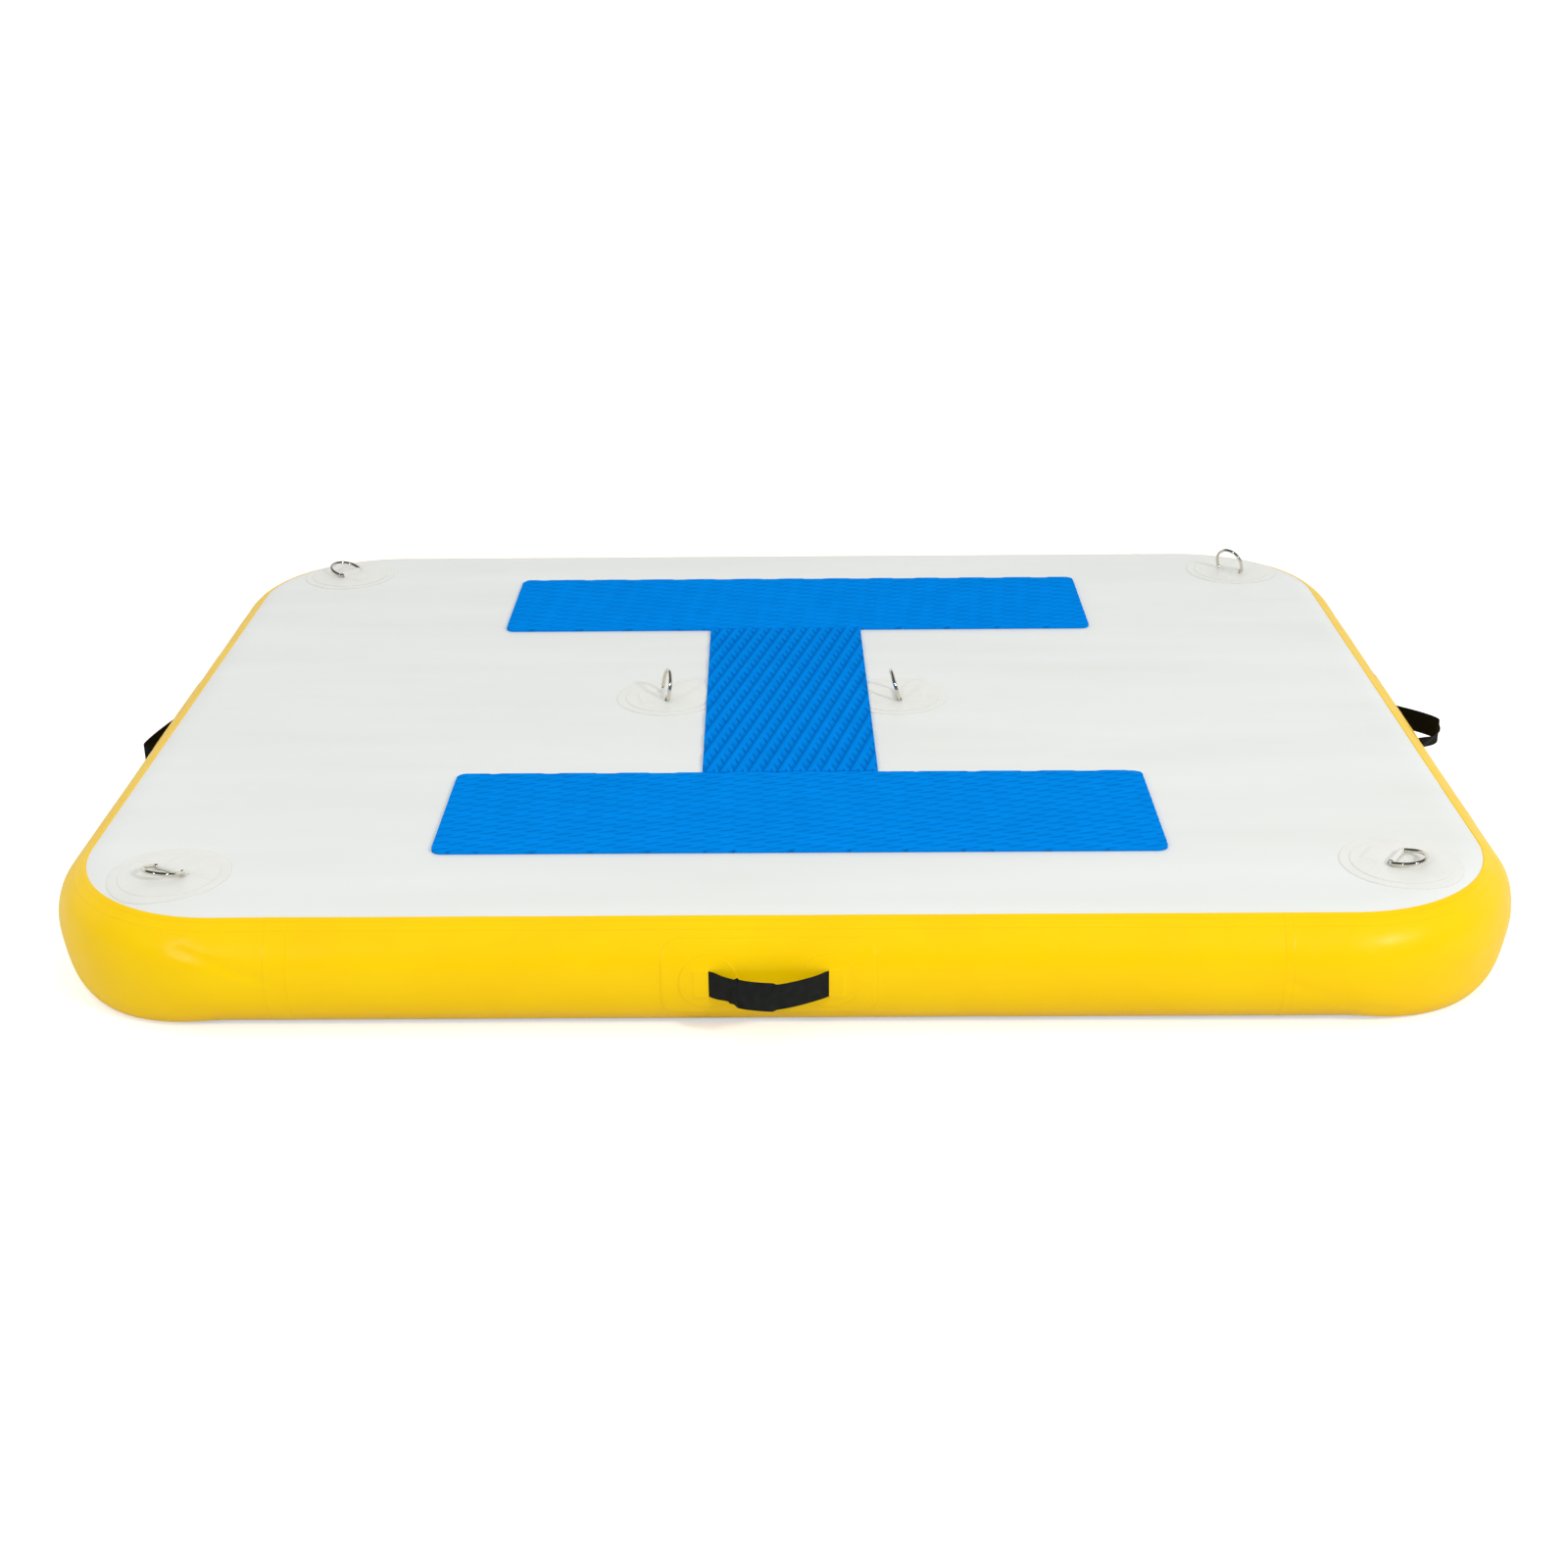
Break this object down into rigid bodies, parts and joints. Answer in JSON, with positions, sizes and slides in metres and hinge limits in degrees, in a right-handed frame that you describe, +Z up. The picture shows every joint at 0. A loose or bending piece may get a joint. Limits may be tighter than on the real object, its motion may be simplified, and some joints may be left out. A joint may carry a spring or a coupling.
{
  "type": "inflatable swim dock platform",
  "caption": "Inflatable drop-stitch swim dock: flat white deck with blue foam pads, yellow round side wall, black carry handles and tie-down ring patches.",
  "frame": {"origin": "on the ground under the middle of the platform", "axes": "+X along the platform's length, -Y towards the pictured front edge, +Z up"},
  "size_m": [2.5938, 2.0648, 0.2584],
  "materials": {
    "white_pvc": "satin",
    "grey_pvc": "satin",
    "yellow_pvc": "satin",
    "thread": "matte",
    "blue_eva": "matte",
    "stainless": "polished",
    "webbing": "matte",
    "valve_plastic": "satin"
  },
  "bodies": {
    "platform": {"top_skin": "white_pvc", "bottom_skin": "grey_pvc", "side_wall": "yellow_pvc", "drop_stitch_core": "thread", "front_pad": "blue_eva", "rear_pad": "blue_eva", "centre_pad": "blue_eva", "front_left_base_disc": "white_pvc", "front_left_cover_disc": "white_pvc", "front_left_keeper": "white_pvc", "front_right_base_disc": "white_pvc", "front_right_cover_disc": "white_pvc", "front_right_keeper": "white_pvc", "rear_left_base_disc": "white_pvc", "rear_left_cover_disc": "white_pvc", "rear_left_keeper": "white_pvc", "rear_right_base_disc": "white_pvc", "rear_right_cover_disc": "white_pvc", "rear_right_keeper": "white_pvc", "middle_left_base_disc": "white_pvc", "middle_left_cover_disc": "white_pvc", "middle_left_keeper": "white_pvc", "middle_right_base_disc": "white_pvc", "middle_right_cover_disc": "white_pvc", "middle_right_keeper": "white_pvc", "front_handle_patch": "yellow_pvc", "front_handle_end_patch_a": "yellow_pvc", "front_handle_root_a": "webbing", "front_handle_end_patch_b": "yellow_pvc", "front_handle_root_b": "webbing", "rear_handle_patch": "yellow_pvc", "rear_handle_end_patch_a": "yellow_pvc", "rear_handle_root_a": "webbing", "rear_handle_end_patch_b": "yellow_pvc", "rear_handle_root_b": "webbing", "left_handle_patch": "yellow_pvc", "left_handle_end_patch_a": "yellow_pvc", "left_handle_root_a": "webbing", "left_handle_end_patch_b": "yellow_pvc", "left_handle_root_b": "webbing", "right_handle_patch": "yellow_pvc", "right_handle_end_patch_a": "yellow_pvc", "right_handle_root_a": "webbing", "right_handle_end_patch_b": "yellow_pvc", "right_handle_root_b": "webbing", "valve_body": "valve_plastic", "valve_nut": "valve_plastic"},
    "front_left_ring": {"front_left_ring": "stainless"},
    "front_right_ring": {"front_right_ring": "stainless"},
    "rear_left_ring": {"rear_left_ring": "stainless"},
    "rear_right_ring": {"rear_right_ring": "stainless"},
    "middle_left_ring": {"middle_left_ring": "stainless"},
    "middle_right_ring": {"middle_right_ring": "stainless"},
    "front_handle_strap": {"front_handle_strap": "webbing"},
    "rear_handle_strap": {"rear_handle_strap": "webbing"},
    "left_handle_strap": {"left_handle_strap": "webbing"},
    "right_handle_strap": {"right_handle_strap": "webbing"},
    "valve_plunger": {"valve_plunger": "valve_plastic"},
    "valve_cap": {"valve_cap": "valve_plastic"}
  },
  "joints": [
    {"name": "front_left_ring_turn", "type": "hinge", "parent": "platform", "child": "front_left_ring", "pos_m": [-0.9975, -0.784, 0.2067], "axis": [-0.8829, 0.4695, 0], "range_deg": [-15, 161]},
    {"name": "front_right_ring_turn", "type": "hinge", "parent": "platform", "child": "front_right_ring", "pos_m": [1.002, -0.76, 0.2067], "axis": [-0.5446, -0.8387, 0], "range_deg": [-7, 169]},
    {"name": "rear_left_ring_turn", "type": "hinge", "parent": "platform", "child": "rear_left_ring", "pos_m": [-0.995, 0.782, 0.2067], "axis": [0.5736, 0.8192, 0], "range_deg": [-13, 163]},
    {"name": "rear_right_ring_turn", "type": "hinge", "parent": "platform", "child": "rear_right_ring", "pos_m": [1.001, 0.764, 0.2067], "axis": [0.7547, -0.6561, 0], "range_deg": [-105, 71]},
    {"name": "middle_left_ring_turn", "type": "hinge", "parent": "platform", "child": "middle_left_ring", "pos_m": [-0.2335, -0.004, 0.2067], "axis": [0.225, -0.9744, 0], "range_deg": [-78, 98]},
    {"name": "middle_right_ring_turn", "type": "hinge", "parent": "platform", "child": "middle_right_ring", "pos_m": [0.2195, -0.008, 0.2067], "axis": [-0.0523, 0.9986, 0], "range_deg": [-72, 104]},
    {"name": "front_handle_swing", "type": "hinge", "parent": "platform", "child": "front_handle_strap", "pos_m": [-0.02, -1.0015, 0.1], "axis": [-1, 0, 0], "range_deg": [-30, 30]},
    {"name": "rear_handle_swing", "type": "hinge", "parent": "platform", "child": "rear_handle_strap", "pos_m": [-0.02, 1.0015, 0.1], "axis": [1, 0, 0], "range_deg": [-30, 30]},
    {"name": "left_handle_swing", "type": "hinge", "parent": "platform", "child": "left_handle_strap", "pos_m": [-1.234, 0.042, 0.1], "axis": [0, 1, 0], "range_deg": [-30, 30]},
    {"name": "right_handle_swing", "type": "hinge", "parent": "platform", "child": "right_handle_strap", "pos_m": [1.234, 0.042, 0.1], "axis": [0, -1, 0], "range_deg": [-30, 30]},
    {"name": "valve_plunger_push", "type": "slide", "parent": "platform", "child": "valve_plunger", "axis": [0, -1, 0], "range_m": [0, 0.006], "stiffness_N_per_m": 300, "springref_m": -0.01},
    {"name": "valve_cap_pull", "type": "slide", "parent": "platform", "child": "valve_cap", "axis": [0, 1, 0], "range_m": [0, 0.03]}
  ]
}
